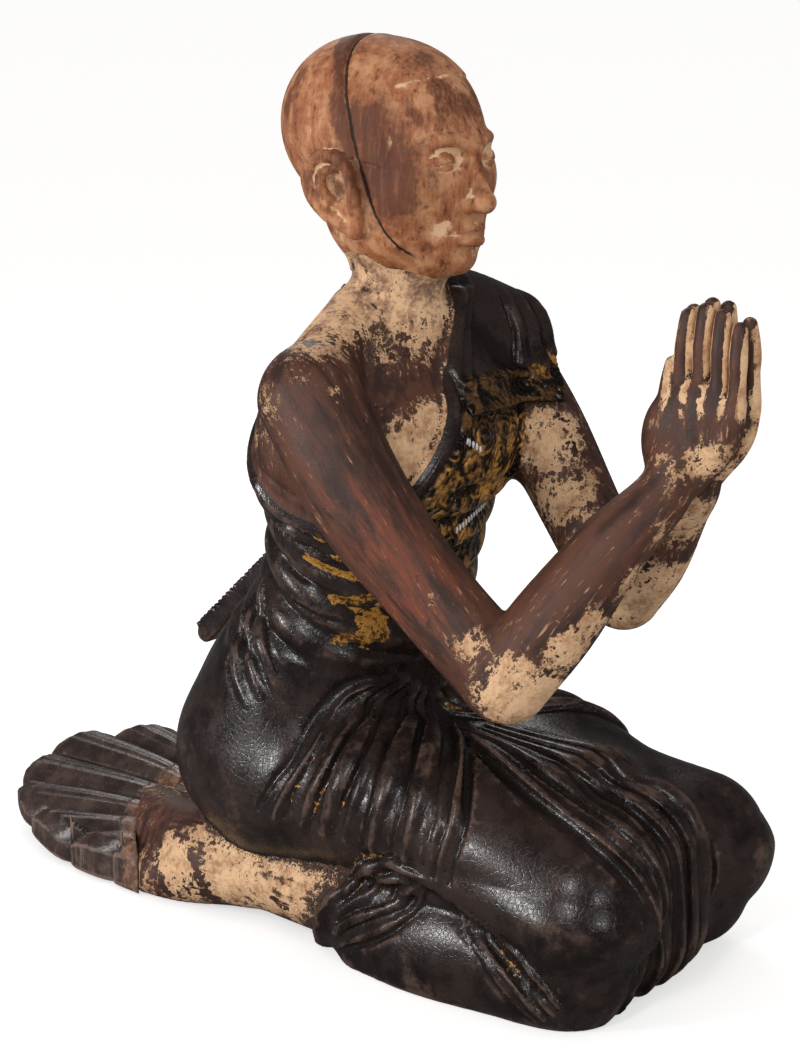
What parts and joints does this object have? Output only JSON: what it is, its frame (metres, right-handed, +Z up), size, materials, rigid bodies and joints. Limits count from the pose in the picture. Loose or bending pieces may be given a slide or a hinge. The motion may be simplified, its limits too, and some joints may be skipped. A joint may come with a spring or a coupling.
{
  "type": "kneeling praying figure sculpture",
  "caption": "Carved wooden kneeling figure with palms pressed together, draped over one shoulder, with a pleated hem fanned out behind the feet; stands on its flat underside.",
  "frame": {"origin": "point of the flat underside below the figure's neck", "axes": "+Z up, -Y the way the figure faces, +X to the figure's left"},
  "size_m": [0.3302, 0.7447, 0.7211],
  "materials": {
    "lacquered_wood": "worn dark lacquer with bare, chalky and part gilded areas",
    "lacquered_hem": "worn dark brown lacquer"
  },
  "bodies": {
    "root": {"figure": "lacquered_wood", "hem_fan": "lacquered_hem"}
  },
  "joints": []
}
